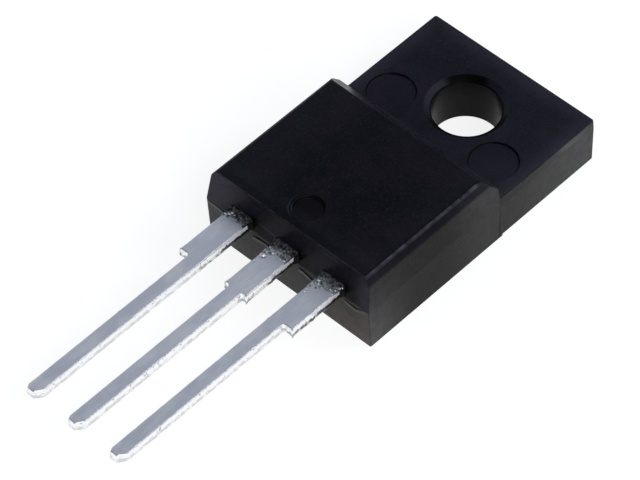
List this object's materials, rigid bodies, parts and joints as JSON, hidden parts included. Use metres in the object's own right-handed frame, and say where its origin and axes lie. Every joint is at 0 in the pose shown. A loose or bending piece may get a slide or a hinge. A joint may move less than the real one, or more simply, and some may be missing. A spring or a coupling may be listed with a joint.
{
  "type": "power transistor",
  "caption": "Fully moulded flat black power transistor with a stepped body, a thin tab with a screw hole, and straight tinned leads for soldering through a board.",
  "frame": {"origin": "on the screw hole's axis at the back face, which goes against a heatsink", "axes": "+Y towards the tab's far end with the leads pointing to -Y, +Z out of the top face, +X towards the emitter lead"},
  "size_m": [0.01, 0.0286, 0.0044],
  "materials": {
    "epoxy_resin": "fine matt moulded",
    "tinned_lead_frame": "satin tin plating",
    "silicon": "polished chip with a metal film",
    "solder": "dull solder",
    "bonding_wire": "drawn aluminium"
  },
  "bodies": {
    "root": {"mould_body": "epoxy_resin", "collector_frame": "tinned_lead_frame", "base_lead": "tinned_lead_frame", "emitter_lead": "tinned_lead_frame", "chip": "silicon", "chip_solder": "solder", "base_wire": "bonding_wire", "emitter_wire": "bonding_wire"}
  },
  "joints": []
}
